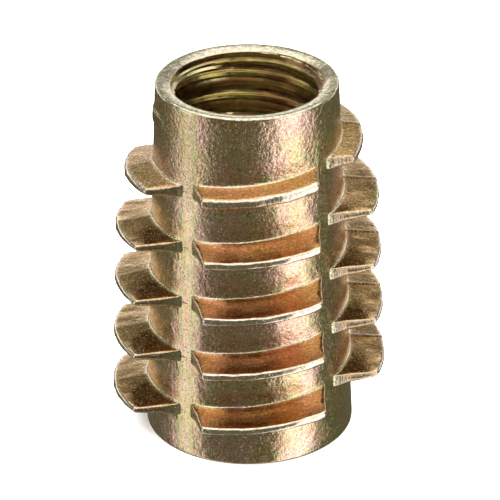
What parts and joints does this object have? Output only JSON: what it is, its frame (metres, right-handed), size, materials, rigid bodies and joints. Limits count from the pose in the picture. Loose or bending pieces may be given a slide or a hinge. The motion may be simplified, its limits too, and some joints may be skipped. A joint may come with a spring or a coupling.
{
  "type": "threaded insert",
  "caption": "Die-cast taper insert for wood with a coarse finned outer thread, a tapped through bore and a hexagon drive socket.",
  "frame": {"origin": "on the insert's axis, in the plane of the head face that it stands on", "axes": "+Z along the axis from the head face to the pilot face; -Y through the middle of a row of fins, the one that faces the viewer"},
  "size_m": [0.0112, 0.0112, 0.015],
  "materials": {
    "passivated_zinc": "satin yellow passivated zinc die-casting"
  },
  "bodies": {
    "root": {"insert": "passivated_zinc"}
  },
  "joints": []
}
